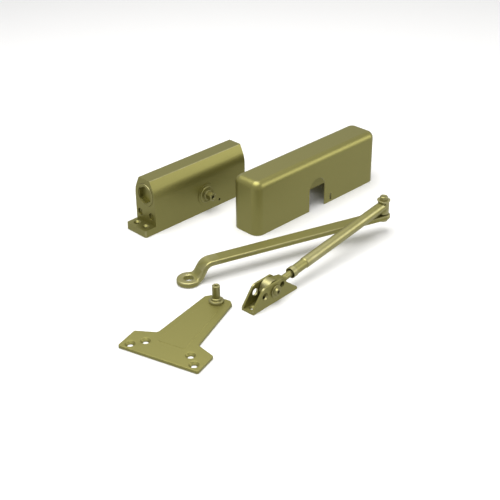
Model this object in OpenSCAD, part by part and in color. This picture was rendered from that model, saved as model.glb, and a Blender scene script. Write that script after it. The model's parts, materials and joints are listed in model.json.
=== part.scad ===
// Surface door closer, laid out as a kit on a flat surface:
// closer body, cover, main arm, adjustable forearm with its shoe, and a soffit bracket.
// X runs along the closer body, Z points away from the mounting face, the pinion lies along Y.

/* [Closer body] */
// Length of the body between its feet
body_len = 182; // [170:1:220]
// Width of the body across the pinion
body_w = 43; // [40:0.5:56]
// Height of the body above its mounting face
body_h = 81; // [78:1:100]
// Height at which the shoulders start to lean in
shoulder_z = 61; // [50:1:70]
// How far each shoulder leans in at the top
shoulder_in = 9.5; // [5:0.5:12]
// Length of each mounting foot
foot_len = 20; // [16:1:30]
// Thickness of each mounting foot
foot_t = 11; // [8:0.5:16]
// Distance of the mounting holes from the ends of the feet
hole_inset = 10.2; // [8:0.1:14]
// Spacing of the mounting holes across the body
hole_pitch_y = 19.05; // [16:0.05:25]
// Diameter of the mounting holes
mount_hole_d = 5.5; // [4:0.1:7]
// Diameter of the countersinks over the mounting holes
mount_sink_d = 11; // [8:0.5:13]

/* [Cylinder and piston] */
// Diameter of the cylinder bore
bore_d = 34; // [30:0.5:35]
// Height of the cylinder axis
bore_z = 55.5; // [54:0.5:57]
// Length of each threaded end plug
plug_len = 16; // [12:1:20]
// Diameter of the end plugs
plug_d = 36; // [35.5:0.5:38]
// Length of the piston
piston_len = 92; // [84:1:96]
// Diameter of the wire of the closing spring
spring_wire = 3.6; // [2.5:0.1:4]
// Outside diameter of the closing spring
spring_d = 21; // [18:0.5:22]

/* [Pinion] */
// Place of the pinion along the body
pinion_x = 10; // [0:1:16]
// Height of the pinion axis
pinion_z = 27.5; // [27:0.5:29]
// Teeth round the whole pinion
pinion_teeth = 12; // [10:1:14]
// Width of the toothed part
gear_w = 15; // [10:0.5:16]
// Diameter of the pinion journals
journal_d = 15; // [12:0.5:16]
// How far each drive end stands out of the body
nose_out = 15; // [10:0.5:20]
// Width across the flats of the drive ends
nose_af = 12; // [10:0.5:13]
// Diameter of the raised ring round each bearing nut
boss_ring_d = 34; // [30:0.5:34]
// Diameter of the bearing nuts beside the pinion
bearing_nut_d = 26; // [25:0.5:28]

/* [Valves] */
// Height of the two speed valves
valve_z = 24; // [20:0.5:25]
// Distance of each valve from the centre plane
valve_y = 12.5; // [9:0.5:13]
// Diameter of the valve bores
valve_d = 10; // [8:0.5:11]

/* [Cover] */
// Length of the cover
cover_len = 265; // [250:1:330]
// Width of the cover
cover_w = 51.5; // [50:0.5:70]
// Height of the cover
cover_h = 84.5; // [84:0.5:105]
// Wall of the cover
cover_t = 2; // [1.5:0.1:2.4]
// Radius of the upright corners
cover_corner_r = 13; // [12:0.5:18]
// Radius of the top edges
cover_edge_r = 11; // [6:0.5:11]
// Width of the pinion slots
slot_w = 35; // [30:0.5:40]
// Height of the top of the pinion slots
slot_top = 50.5; // [48:0.5:60]
// Distance from the end of the cover to the middle of the pinion slots
slot_x = 129; // [115:1:145]

/* [Main arm] */
// Distance from the eye to the elbow
arm_len = 308.5; // [260:0.5:340]
// Width of the arm
arm_w = 21; // [18:0.5:24]
// Thickness of the arm
arm_t = 7.5; // [6:0.5:9]
// Diameter of the eye
eye_d = 33; // [28:0.5:38]
// How far the cranked bar stands above the eye
arm_rise = 21.5; // [15:0.5:26]

/* [Forearm] */
// Distance from the elbow to the shoe pivot
forearm_len = 247; // [200:0.5:300]
// Outside diameter of the tube
tube_d = 15.5; // [14:0.5:18]
// Inside diameter of the tube
tube_bore = 12; // [11:0.5:13]
// Distance from the shoe pivot to the open end of the tube
tube_gap = 41.5; // [38:0.5:60]
// Length of the narrowed end of the tube
tube_neck = 29; // [20:1:40]
// Diameter of the adjusting rod
rod_d = 9.2; // [8:0.2:10]
// Height of the knuckle barrel
barrel_h = 19.5; // [18:0.5:24]
// Outside diameter of the knuckle barrel
barrel_d = 16.5; // [15:0.5:20]
// Diameter of the elbow stud
stud_d = 9.4; // [8:0.2:10]

/* [Shoe] */
// Length of the shoe
shoe_len = 86.5; // [80:0.5:105]
// Width across the two ears
shoe_w = 20.4; // [19:0.2:26]
// Thickness of the shoe metal
shoe_t = 3; // [2:0.1:3.4]
// Height of the ears
ear_h = 29.5; // [27:0.5:34]
// Distance of the pivot from the back end of the shoe
pivot_x = 43; // [36:0.5:52]
// Height of the pivot
pivot_z = 17; // [14:0.5:19]
// Diameter of the pivot screw
pivot_d = 7; // [6:0.2:8]
// Spacing of the two shoe fixing holes
shoe_hole_pitch = 68; // [62:0.5:70]

/* [Soffit bracket] */
// Length of the cross foot
cross_len = 115; // [105:1:140]
// Depth of the cross foot
cross_d = 36; // [32:0.5:44]
// Reach of the plate from the outer edge to the tip
plate_reach = 152; // [130:1:170]
// Width of the stem beside the cross foot
stem_root_w = 59; // [50:1:66]
// Width of the stem at its tip
stem_tip_w = 41; // [34:1:46]
// Thickness of the plate
plate_t = 4.2; // [3:0.1:6]
// Diameter of the bracket stud
post_d = 10.6; // [9:0.2:12]
// Height of the bracket stud above the surface
post_h = 29.5; // [24:0.5:34]
// Diameter of the plate's fixing holes
plate_hole_d = 7.5; // [5:0.1:8]

/* [Layout of the kit] */
// Left end of the cover
cover_x = 2.6; // [-60:0.1:60]
// Front wall of the cover
cover_y = -136.2; // [-180:0.1:-128]
// Eye of the main arm, along X
eye_x = -148.5; // [-190:0.1:-120]
// Eye of the main arm, along Y
eye_y = -156; // [-190:0.1:-140]
// Turn of the main arm
arm_turn = -18.13; // [-22:0.01:-16]
// Turn of the forearm and shoe
forearm_turn = 2.6; // [0:0.1:5]
// Distance from the bracket's outer edge to the shoe pivot, along X
bracket_dx = 192.9; // [185:0.1:230]
// Distance from the shoe pivot to the middle of the bracket's outer edge, along Y
bracket_dy = 1.2; // [-30:0.1:30]
// Turn of the soffit bracket
bracket_turn = -73.7; // [-90:0.1:-60]

/* [Fits] */
// Radial clearance of a running fit
run_gap = 0.05; // [0.02:0.01:0.1]
// Clearance beside parts that slide past each other
side_gap = 0.4; // [0.3:0.05:0.8]

/* [Hidden] */
$fn = 64;

BRASS = [0.58, 0.55, 0.34];
STEEL = [0.62, 0.63, 0.64];
DARK = [0.12, 0.12, 0.12];
eps = 0.02;

// closer body
full_len = body_len + 2 * foot_len;
hole_pitch_x = full_len - 2 * hole_inset;
half_w = body_w / 2;
end_x = body_len / 2;
bore_end = end_x - plug_len;
blend_r = 40;
ridge_r = 1.5;
// pinion and rack
module_size = 20 / 12;
pitch_r = module_size * pinion_teeth / 2;
tooth_long = module_size;
tooth_short = 1.15;
root_gap = 0.35;
pressure = 20;
flank_gap = 0.12;
gear_r = pitch_r + tooth_long;
gear_root_r = pitch_r - tooth_short - root_gap;
rack_tip_z = pinion_z + pitch_r - tooth_short;
rack_root_z = pinion_z + pitch_r + tooth_long + root_gap;
rack_pitch_z = pinion_z + pitch_r;
rack_w = 12;
tooth_step = 2 * PI * pitch_r / pinion_teeth;
stroke = PI * pitch_r;
rack_lead = 8;
rack_left = pinion_x - stroke - rack_lead;
rack_right = pinion_x + rack_lead;
piston_x1 = rack_right + 7;
piston_x0 = piston_x1 - piston_len;
piston_r = bore_d / 2 - run_gap;
chamber_r = gear_r + 0.7;
chamber_w = gear_w + 2 * 0.8;
gland_r = bearing_nut_d / 2;
boss_proud = 1;
bearing_r = 10.5;
bearing_len = 7.5;
bearing_gap = 0.3;
seal_t = 2.4;
nut_proud = 1.2;
nut_front = half_w + boss_proud + nut_proud;
hex_from = nut_front + 1.3;
drive_tip = half_w + nose_out;
nut_back = chamber_w / 2 + 0.4;
seal_y = nut_front - 1.4 - seal_t;
bearing_y = seal_y - bearing_gap - bearing_len;
tap_d = 5;
// piston, spring and adjuster
hollow_r = 11.3;
hollow_x = rack_left + 22;
seat_t = 4;
collar_t = 3;
collar_x = bore_end - 0.3;
seat_x = collar_x - collar_t - 1.5 - seat_t;
adjuster_d = 8;
plug_key_af = 22;
plug_key_depth = 7;
left_key_af = 24;
left_key_depth = 6;
circlip_t = 0.9;
circlip_x = end_x - plug_key_depth + 0.15;
ball_d = 6;
check_d = 10;
// valves
valve_len = 20;
valve_depth = 30;
valve_recess = 2.2;
port_d = 3;
// cover screw boss
screw_dx = 26;
screw_z = 9;
cover_slot_dx = 31;
// arms
arm_top = arm_rise + arm_t;
elbow_x = eye_x + arm_len * cos(arm_turn);
elbow_y = eye_y + arm_len * sin(arm_turn);
barrel_z = arm_top + 1.2;
barrel_top = barrel_z + barrel_h;
tube_z = barrel_z + 11.6;
fall = atan((tube_z - pivot_z) / forearm_len);
slant_len = forearm_len / cos(fall);
pivot_px = elbow_x - forearm_len * cos(forearm_turn);
pivot_py = elbow_y - forearm_len * sin(forearm_turn);
rod_eye_w = shoe_w - 2 * shoe_t - 2 * 0.9;
rod_eye_r = pivot_z - shoe_t - 0.5;
rod_neck = 26;
guide_len = 26;
guide_x = tube_gap + 85;
neck_r = tube_d / 2 - 0.8;
lip_len = 7;
bush_d = stud_d + 2 * run_gap + 2 * 1.1;
clamp_x = tube_gap + tube_neck + 11;
clamp_d = 5;
grub_r = 1.8;
grub_turn = forearm_turn - 132;
grub_z = barrel_top - 2.7;
washer_t = 1.6;
washer_d = 19;
stud_cap_d = 11.6;
stud_top = barrel_top + 7.7;
// layout of the bracket beside the shoe
bracket_x = pivot_px - bracket_dx;
bracket_y = pivot_py + bracket_dy;
plate_sink_d = plate_hole_d + 6;
boss_d = 20.5;
boss_t = 4;
post_inset = 11;
pin_head_t = 3;

function unit(v) = v / norm(v);
function wrap(a) = a > 180 ? a - 360 : a < -180 ? a + 360 : a;

// Points of a rounded corner at b between the directions to a and c
function corner(a, b, c, r, n = 6) =
    let (u = unit(a - b), v = unit(c - b), half = acos(u * v) / 2,
         m = b + unit(u + v) * r / sin(half), s = b + u * r / tan(half) - m,
         e = b + v * r / tan(half) - m, a0 = atan2(s.y, s.x),
         turn = wrap(atan2(e.y, e.x) - a0))
    [for (i = [0:n]) m + r * [cos(a0 + turn * i / n), sin(a0 + turn * i / n)]];

// Outline from [x, y, corner radius] rows; a radius of 0 keeps the corner sharp
function outline(rows) =
    let (n = len(rows), p = [for (q = rows) [q.x, q.y]])
    [for (i = [0:n - 1]) each rows[i].z > 0
        ? corner(p[(i + n - 1) % n], p[i], p[(i + 1) % n], rows[i].z) : [p[i]]];

// Involute of the pinion's base circle, at radius r, as an angle
base_r = pitch_r * cos(pressure);
function involute(r) = let (t = sqrt(max(0, r * r / (base_r * base_r) - 1))) t * 180 / PI - atan(t);

module bar_x(x0, x1, r, y = 0, z = 0, r2 = -1) {
    translate([x0, y, z]) rotate([0, 90, 0]) cylinder(h = x1 - x0, r1 = r, r2 = r2 < 0 ? r : r2);
}

module bar_y(y0, y1, r, x = 0, z = 0, r2 = -1) {
    translate([x, y0, z]) rotate([-90, 0, 0]) cylinder(h = y1 - y0, r1 = r, r2 = r2 < 0 ? r : r2);
}

module hex_y(y0, y1, af, x, z, turn = 0) {
    translate([x, y0, z]) rotate([-90, 0, 0]) rotate(turn)
        cylinder(h = y1 - y0, d = af / cos(30), $fn = 6);
}

// Hole with a countersink, opening upwards at height top
module sunk_hole(d, sink, top) {
    translate([0, 0, -1]) cylinder(h = top + 2, d = d);
    translate([0, 0, top - (sink - d) / 2]) cylinder(h = (sink - d) / 2 + eps, d1 = d, d2 = sink + 2 * eps);
}

module at_cover() { translate([cover_x, cover_y, 0]) children(); }
module at_arm() { translate([eye_x, eye_y, 0]) rotate(arm_turn) children(); }
module at_elbow() { translate([elbow_x, elbow_y, 0]) children(); }
module at_pivot() { translate([pivot_px, pivot_py, pivot_z]) rotate(forearm_turn) children(); }
// Frame of the forearm: X from the shoe pivot up the slope to the elbow
module at_forearm() { at_pivot() rotate([0, -fall, 0]) children(); }
module at_shoe() { at_pivot() translate([-pivot_x, -shoe_w / 2, -pivot_z]) children(); }
module at_bracket() { translate([bracket_x, bracket_y, 0]) rotate(bracket_turn) children(); }

// ---------------------------------------------------------------- closer body

module body_profile() {
    rise = body_h - shoulder_z;
    polygon(outline([[-half_w, 0, 0], [half_w, 0, 0], [half_w, shoulder_z, blend_r],
        [half_w - shoulder_in, body_h, ridge_r], [shoulder_in - half_w, body_h, ridge_r],
        [-half_w, shoulder_z, blend_r]]));
}

module foot_profile() {
    r = 2.5;
    polygon(outline([[-full_len / 2, -half_w, r], [full_len / 2, -half_w, r],
        [full_len / 2, half_w, r], [-full_len / 2, half_w, r]]));
}

module end_bores(side) {
    x1 = side * (end_x + 1);
    x0 = side * bore_end;
    bar_x(min(x0, x1), max(x0, x1), plug_d / 2 + run_gap, 0, bore_z);
}

module gland_bores(side) {
    a = side * chamber_w / 2 * 0.9;
    b = side * (half_w + boss_proud + 1);
    bar_y(min(a, b), max(a, b), gland_r + run_gap, pinion_x, pinion_z);
}

module valve_bore(side) {
    bar_x(-end_x - 1, -end_x + valve_depth, valve_d / 2, side * valve_y, valve_z);
    bar_x(-end_x - 1, -end_x + valve_recess, valve_d / 2 + 0.6, side * valve_y, valve_z);
    for (dx = [valve_len + 1, valve_depth - 3])
        translate([-end_x + dx, side * valve_y, valve_z]) cylinder(h = bore_z - valve_z - 6, d = port_d);
}

module housing() {
    color(BRASS) difference() {
        union() {
            translate([-end_x, 0, 0]) rotate([90, 0, 90]) linear_extrude(body_len) body_profile();
            linear_extrude(foot_t) foot_profile();
            bar_y(-half_w - boss_proud, half_w + boss_proud, boss_ring_d / 2, pinion_x, pinion_z);
        }
        bar_x(-bore_end - eps, bore_end + eps, bore_d / 2, 0, bore_z);
        for (s = [-1, 1]) {
            end_bores(s);
            gland_bores(s);
            valve_bore(s);
        }
        bar_y(-chamber_w / 2, chamber_w / 2, chamber_r, pinion_x, pinion_z);
        translate([rack_left - 1, -rack_w / 2 - side_gap, rack_tip_z - side_gap])
            cube([rack_right - rack_left + stroke + 2, rack_w + 2 * side_gap, bore_z - rack_tip_z]);
        for (x = [-1, 1], y = [-1, 1])
            translate([x * hole_pitch_x / 2, y * hole_pitch_y / 2, 0]) sunk_hole(mount_hole_d, mount_sink_d, foot_t);
        for (s = [-1, 1])
            bar_y(s > 0 ? half_w - 10 : -half_w - 1, s > 0 ? half_w + 1 : 10 - half_w, 2, pinion_x + screw_dx, screw_z);
    }
}

// Threaded plug with a raised lip and a six-sided key recess; runs in +X from its outer face
module end_plug(key_af, key_depth, through_d) {
    lip = 1;
    r = plug_d / 2;
    difference() {
        union() {
            bar_x(0, plug_len - 0.4, r);
            bar_x(-lip, 0, r - 0.6, 0, 0, r);
        }
        bar_x(-lip - 1, 0, r - 4);
        translate([-lip - 1, 0, 0]) rotate([0, 90, 0]) cylinder(h = lip + 1 + key_depth, d = key_af / cos(30), $fn = 6);
        bar_x(plug_len - 5.4, plug_len - 2.6, r + 1);
        if (through_d > 0) bar_x(0, plug_len + 1, through_d / 2);
    }
    difference() {
        bar_x(plug_len - 5.4, plug_len - 2.6, r - 2.2);
        if (through_d > 0) bar_x(0, plug_len + 1, through_d / 2);
    }
}

module left_end_plug() {
    color(BRASS) translate([-end_x, 0, bore_z]) end_plug(left_key_af, left_key_depth, 0);
}

module right_end_plug() {
    color(BRASS) translate([end_x, 0, bore_z]) mirror([1, 0, 0]) end_plug(plug_key_af, plug_key_depth, adjuster_d + 2 * run_gap);
}

module end_plug_seals() {
    ring = 2.2;
    color(DARK) for (s = [-1, 1])
        translate([s * (end_x - plug_len + 4), 0, bore_z]) rotate([0, 90, 0])
            rotate_extrude() translate([plug_d / 2 - ring / 2, 0]) circle(d = ring, $fn = 24);
}

module bearing_nut(side) {
    translate([pinion_x, 0, pinion_z]) scale([1, side, 1]) difference() {
        union() {
            bar_y(nut_back, nut_front - 0.8, gland_r);
            bar_y(nut_front - 0.8, nut_front, gland_r, 0, 0, gland_r - 0.8);
        }
        bar_y(nut_back - 1, seal_y + seal_t, bearing_r);
        bar_y(nut_back - 1, nut_front + 1, journal_d / 2 + 0.3);
        // spanner ring and pin holes in the face
        difference() {
            bar_y(nut_front - 0.6, nut_front + 1, gland_r - 2.2);
            bar_y(nut_front - 2, nut_front + 2, journal_d / 2 + 1.6);
        }
        for (a = [0:60:300]) rotate([0, a, 0]) bar_y(nut_front - 1.3, nut_front + 1, 0.9, journal_d / 2 + 2.9, 0);
    }
}

module front_bearing_nut() { color(BRASS) bearing_nut(-1); }
module back_bearing_nut() { color(BRASS) bearing_nut(1); }

module pinion_rings(y0, t, r_out, r_in) {
    for (s = [-1, 1])
        translate([pinion_x, 0, pinion_z]) scale([1, s, 1]) difference() {
            bar_y(y0, y0 + t, r_out);
            bar_y(y0 - 1, y0 + t + 1, r_in);
        }
}

module pinion_bearings() {
    color(STEEL) pinion_rings(bearing_y, bearing_len, bearing_r - 0.02, journal_d / 2 + run_gap);
}

module pinion_seals() {
    color(DARK) pinion_rings(seal_y, seal_t, bearing_r - 0.02, journal_d / 2 + run_gap);
}

// One tooth of the pinion, pointing along +X, as involute flanks between root and tip
module pinion_tooth() {
    steps = 7;
    half_pitch_angle = 90 / pinion_teeth - flank_gap / pitch_r * 180 / PI;
    r0 = max(base_r, gear_root_r);
    radii = [for (i = [0:steps]) r0 + (gear_r - r0) * i / steps];
    function flank(r) = half_pitch_angle + involute(pitch_r) - involute(r);
    low = flank(r0);
    polygon(concat([[gear_root_r * 0.9 * cos(low), -gear_root_r * 0.9 * sin(low)]],
        [for (r = radii) [r * cos(flank(r)), -r * sin(flank(r))]],
        [for (i = [steps:-1:0]) let (r = radii[i]) [r * cos(flank(r)), r * sin(flank(r))]],
        [[gear_root_r * 0.9 * cos(low), gear_root_r * 0.9 * sin(low)]]));
}

module pinion_shaft() {
    tip = drive_tip;
    color(STEEL) translate([pinion_x, 0, pinion_z]) difference() {
        union() {
            translate([0, gear_w / 2, 0]) rotate([90, 0, 0]) linear_extrude(gear_w) {
                circle(r = gear_root_r);
                for (i = [0:pinion_teeth - 1]) rotate(90 + 360 / pinion_teeth * i) pinion_tooth();
            }
            for (s = [0, 1]) mirror([0, s, 0]) {
                bar_y(gear_w / 2 - eps, hex_from, journal_d / 2);
                bar_y(hex_from - eps, hex_from + 1.2, journal_d / 2, 0, 0, journal_d / 2 - 1.2);
                intersection() {
                    hex_y(hex_from, tip, nose_af, 0, 0, 30);
                    union() {
                        bar_y(hex_from, tip - 1.2, nose_af);
                        bar_y(tip - 1.2, tip, nose_af / 2 / cos(30), 0, 0, nose_af / 2 - 0.7);
                    }
                }
            }
        }
        for (s = [0, 1]) mirror([0, s, 0]) {
            bar_y(tip - 13, tip + 1, tap_d / 2);
            bar_y(tip - 1, tip + eps, tap_d / 2, 0, 0, tap_d / 2 + 1);
        }
    }
}

module rack_gap_profile() {
    lean = tan(pressure);
    half = tooth_step / 4 + flank_gap / 2;
    down = rack_pitch_z - rack_tip_z + 1;
    up = rack_root_z - rack_pitch_z;
    polygon([[-half - down * lean, -down], [half + down * lean, -down], [half - up * lean, up], [up * lean - half, up]]);
}

module piston() {
    first = ceil((rack_left - pinion_x) / tooth_step);
    last = floor((rack_right - pinion_x) / tooth_step);
    color(STEEL) difference() {
        union() {
            bar_x(piston_x0, piston_x1, piston_r, 0, bore_z);
            translate([rack_left, -rack_w / 2, rack_tip_z])
                cube([rack_right - rack_left, rack_w, bore_z - rack_tip_z]);
        }
        for (i = [first:last])
            translate([pinion_x + i * tooth_step, piston_r, rack_pitch_z]) rotate([90, 0, 0])
                linear_extrude(2 * piston_r) rack_gap_profile();
        bar_x(hollow_x, piston_x1 + 1, hollow_r, 0, bore_z);
        bar_x(piston_x0 - 1, piston_x0 + 6, check_d / 2, 0, bore_z);
        bar_x(piston_x0 + 5, piston_x0 + 14, ball_d / 2 + 0.5, 0, bore_z);
        bar_x(piston_x0 + 5, hollow_x + 1, ball_d / 2 - 1, 0, bore_z);
        for (x = [piston_x0 + 3, piston_x1 - 4])
            translate([x, 0, bore_z]) rotate([0, 90, 0]) rotate_extrude() translate([piston_r - 0.6, 0]) square([1, 1.2]);
    }
}

module piston_check_ball() {
    color(STEEL) translate([piston_x0 + 10.5, 0, bore_z]) sphere(d = ball_d);
}

module piston_check_plug() {
    color(BRASS) difference() {
        bar_x(piston_x0, piston_x0 + 5.6, check_d / 2 - 0.02, 0, bore_z);
        bar_x(piston_x0 - 1, piston_x0 + 7, 1.5, 0, bore_z);
        translate([piston_x0 - 1, 0, bore_z]) rotate([0, 90, 0]) cylinder(h = 3, d = 5.5, $fn = 6);
    }
}

// The closing spring as the sleeve that its coils fill
module closing_spring() {
    color(STEEL) difference() {
        bar_x(hollow_x + 0.3, seat_x - 0.3, spring_d / 2, 0, bore_z);
        bar_x(hollow_x, seat_x, spring_d / 2 - spring_wire, 0, bore_z);
    }
}

// Threaded disc that the adjuster screw draws along the bore
module spring_seat() {
    color(STEEL) translate([seat_x, 0, bore_z]) difference() {
        union() {
            bar_x(0, seat_t, bore_d / 2 - side_gap);
            bar_x(-4, 0, spring_d / 2 - spring_wire - side_gap);
        }
        bar_x(-5, seat_t + 1, adjuster_d / 2 + run_gap);
        translate([-1, -1.5, bore_d / 2 - 3]) cube([seat_t + 2, 3, 4]);
    }
}

module power_adjuster() {
    head_x = circlip_x + circlip_t + 1;
    groove_r = adjuster_d / 2 - 0.6;
    color(STEEL) translate([0, 0, bore_z]) {
        bar_x(seat_x - 12, circlip_x - 0.1, adjuster_d / 2);
        bar_x(circlip_x - 0.2, circlip_x + circlip_t + 0.2, groove_r);
        bar_x(circlip_x + circlip_t + 0.1, head_x, adjuster_d / 2);
        bar_x(collar_x - collar_t, collar_x, adjuster_d / 2 + 3);
        translate([head_x, 0, 0]) rotate([0, 90, 0]) cylinder(h = 6, d = 7 / cos(30), $fn = 6);
    }
}

module adjuster_circlip() {
    color(STEEL) translate([circlip_x, 0, bore_z]) difference() {
        bar_x(0, circlip_t, adjuster_d / 2 + 2.2);
        bar_x(-1, 2, adjuster_d / 2 - 0.5);
        translate([-1, -1.5, 0]) cube([3, 3, 10]);
    }
}

module valve(side) {
    r = valve_d / 2 - run_gap;
    translate([-end_x + valve_recess, side * valve_y, valve_z]) difference() {
        union() {
            bar_x(0, 6, r);
            bar_x(6, 8.6, r - 1.6);
            bar_x(8.6, 12, r);
            bar_x(12, valve_len, 1.8, 0, 0, 0.8);
        }
        translate([-1, -0.7, -r - 1]) cube([2.4, 1.4, 2 * r + 2]);
    }
}

module valve_seal(side) {
    ring = 1.6;
    translate([-end_x + valve_recess + 7.3, side * valve_y, valve_z]) rotate([0, 90, 0])
        rotate_extrude() translate([valve_d / 2 - ring / 2 - 0.03, 0]) circle(d = ring, $fn = 24);
}

module sweep_valve() { color(BRASS) valve(-1); }
module latch_valve() { color(BRASS) valve(1); }
module sweep_valve_seal() { color(DARK) valve_seal(-1); }
module latch_valve_seal() { color(DARK) valve_seal(1); }

// ---------------------------------------------------------------- cover

// Solid block with rounded upright corners and rounded top edges
module soft_block(l, w, h, r, edge) {
    hull() for (x = [r, l - r], y = [r, w - r])
        translate([x, y, 0]) rotate_extrude($fn = 40) {
            square([r, h - edge]);
            square([r - edge, h]);
            translate([r - edge, h - edge]) intersection() {
                circle(r = edge, $fn = 40);
                square(edge);
            }
        }
}

module arch(w, top, y0, y1) {
    translate([-w / 2, y0, -1]) cube([w, y1 - y0, top - w / 2 + 1]);
    bar_y(y0, y1, w / 2, 0, top - w / 2);
}

module cover() {
    color(BRASS) at_cover() difference() {
        soft_block(cover_len, cover_w, cover_h, cover_corner_r, cover_edge_r);
        translate([cover_t, cover_t, -1])
            soft_block(cover_len - 2 * cover_t, cover_w - 2 * cover_t, cover_h - cover_t + 1,
                cover_corner_r - cover_t, cover_edge_r - cover_t);
        translate([slot_x, 0, 0]) arch(slot_w, slot_top, -1, cover_w + 1);
        for (y = [[-1, cover_t + 1], [cover_w - cover_t - 1, cover_w + 1]])
            for (z = [screw_z - 3.5, screw_z + 3.5])
                translate([slot_x + cover_slot_dx, 0, 0]) {
                    bar_y(y[0], y[1], 2, 0, z);
                    translate([-2, y[0], screw_z - 3.5]) cube([4, y[1] - y[0], 7]);
                }
    }
}

// ---------------------------------------------------------------- main arm

module arm_side() {
    crank = arm_rise / tan(60);
    x0 = eye_d / 2 - 2;
    lift = arm_t * tan(30);
    polygon(outline([[-eye_d / 2, 0, 0], [x0, 0, 14], [x0 + crank, arm_rise, 8],
        [arm_len + arm_w, arm_rise, 0], [arm_len + arm_w, arm_top, 0],
        [x0 + crank - lift, arm_top, 14], [x0 - lift, arm_t, 8], [-eye_d / 2, arm_t, 0]]));
}

module arm_plan() {
    neck = eye_d / 2 + 6;
    circle(d = eye_d);
    polygon(outline([[0, -eye_d / 2, 0], [4, -eye_d / 2, 6], [neck + 6, -arm_w / 2, 20],
        [arm_len, -arm_w / 2, 0], [arm_len, arm_w / 2, 0], [neck + 6, arm_w / 2, 20],
        [4, eye_d / 2, 6], [0, eye_d / 2, 0]]));
    translate([arm_len, 0]) circle(d = arm_w);
}

// Twelve-point socket that fits the pinion's drive ends in steps of 30 degrees
module drive_socket(h) {
    across = nose_af + 2 * 0.15;
    for (a = [0, 30]) rotate(a) cylinder(h = h, d = across / cos(30), $fn = 6);
}

module main_arm() {
    color(BRASS) at_arm() difference() {
        intersection() {
            translate([0, eye_d, 0]) rotate([90, 0, 0]) linear_extrude(2 * eye_d) arm_side();
            linear_extrude(arm_top) arm_plan();
        }
        translate([0, 0, -1]) drive_socket(arm_t + 2);
        translate([0, 0, arm_t - 0.8]) cylinder(h = 1, d1 = nose_af + 1.4, d2 = nose_af + 3.8);
        translate([arm_len, 0, arm_rise - 1]) cylinder(h = arm_t + 2, d = stud_d + 2 * run_gap);
    }
}

module elbow_stud() {
    head_t = 3.2;
    cap_z = barrel_top + 0.4 + washer_t;
    color(STEEL) at_elbow() {
        translate([0, 0, arm_rise - head_t]) cylinder(h = head_t, r1 = stud_d / 2 + 2.6, r2 = stud_d / 2 + 3.4);
        translate([0, 0, arm_rise - eps]) cylinder(h = cap_z - arm_rise + 2 * eps, d = stud_d);
        translate([0, 0, cap_z]) cylinder(h = stud_top - 1 - cap_z, d = stud_cap_d);
        translate([0, 0, stud_top - 1 - eps]) cylinder(h = 1 + eps, d1 = stud_cap_d, d2 = stud_cap_d - 2.4);
    }
}

module elbow_washer() {
    color(BRASS) at_elbow() translate([0, 0, barrel_top + 0.3]) difference() {
        cylinder(h = washer_t, d = washer_d);
        translate([0, 0, -1]) cylinder(h = washer_t + 2, d = stud_d + 2 * run_gap);
    }
}

module elbow_bush() {
    color(BRASS) at_elbow() difference() {
        translate([0, 0, barrel_z]) cylinder(h = barrel_h, d = bush_d);
        translate([0, 0, barrel_z - 1]) cylinder(h = barrel_h + 2, d = stud_d + 2 * run_gap);
    }
}

// ---------------------------------------------------------------- forearm

module forearm_tube() {
    start = slant_len - barrel_d / 2 - 4;
    full_x = tube_gap + tube_neck;
    color(BRASS) difference() {
        union() {
            at_forearm() bar_x(full_x, slant_len - 3, tube_d / 2);
            at_forearm() bar_x(full_x - 2, full_x + eps, neck_r, 0, 0, tube_d / 2);
            at_forearm() bar_x(tube_gap + lip_len, full_x, neck_r);
            at_forearm() bar_x(tube_gap + lip_len - eps, tube_gap + lip_len + 2, tube_d / 2, 0, 0, neck_r);
            at_forearm() bar_x(tube_gap, tube_gap + lip_len, tube_d / 2);
            at_elbow() translate([0, 0, barrel_z]) cylinder(h = barrel_h, d = barrel_d);
        }
        at_forearm() bar_x(tube_gap - 1, start, tube_bore / 2);
        at_forearm() bar_x(tube_gap - eps, tube_gap + 0.8, tube_bore / 2 + 0.7, 0, 0, tube_bore / 2);
        at_forearm() translate([clamp_x, 0, -tube_d]) cylinder(h = tube_d, d = clamp_d);
        at_elbow() translate([0, 0, barrel_z - 20]) cylinder(h = barrel_h + 40, d = bush_d + 0.04);
        at_elbow() rotate(grub_turn) bar_x(bush_d / 2 - 0.4, barrel_d / 2 + 0.8, grub_r, 0, grub_z);
    }
}

module rod_clamp_screw() {
    color(STEEL) at_forearm() translate([clamp_x, 0, 0]) mirror([0, 0, 1]) translate([0, 0, rod_d / 2 + 0.3]) difference() {
        cylinder(h = tube_d / 2 - rod_d / 2 - 0.8, d = clamp_d - 2 * run_gap);
        translate([0, 0, 1.2]) cylinder(h = 5, d = 2.5 / cos(30), $fn = 6);
    }
}

module barrel_grub_screw() {
    color(STEEL) at_elbow() rotate(grub_turn) translate([bush_d / 2 + 0.1, 0, grub_z]) rotate([0, 90, 0])
        difference() {
            cylinder(h = barrel_d / 2 - bush_d / 2 - 1.5, r = grub_r - run_gap);
            translate([0, 0, 0.4]) cylinder(h = 3, d = 1.5 / cos(30), $fn = 6);
        }
}

module forearm_rod() {
    thin_r = rod_d / 2 - 1;
    color(BRASS) at_forearm() difference() {
        union() {
            bar_x(rod_neck - 8, guide_x - 0.1, rod_d / 2);
            bar_x(guide_x - 0.2, guide_x + guide_len - 2, thin_r);
            bar_x(guide_x + guide_len - 3, guide_x + guide_len, rod_d / 2);
            bar_y(-rod_eye_w / 2, rod_eye_w / 2, rod_eye_r);
            translate([0, -rod_eye_w / 2, 0]) rotate([-90, 0, 0]) linear_extrude(rod_eye_w)
                polygon([[0, -rod_eye_r], [4, -rod_eye_r + 0.8], [rod_neck, -rod_d / 2], [rod_neck, rod_d / 2],
                    [4, rod_eye_r - 0.8], [0, rod_eye_r]]);
        }
        bar_y(-rod_eye_w, rod_eye_w, pivot_d / 2 + run_gap);
    }
}

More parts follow.
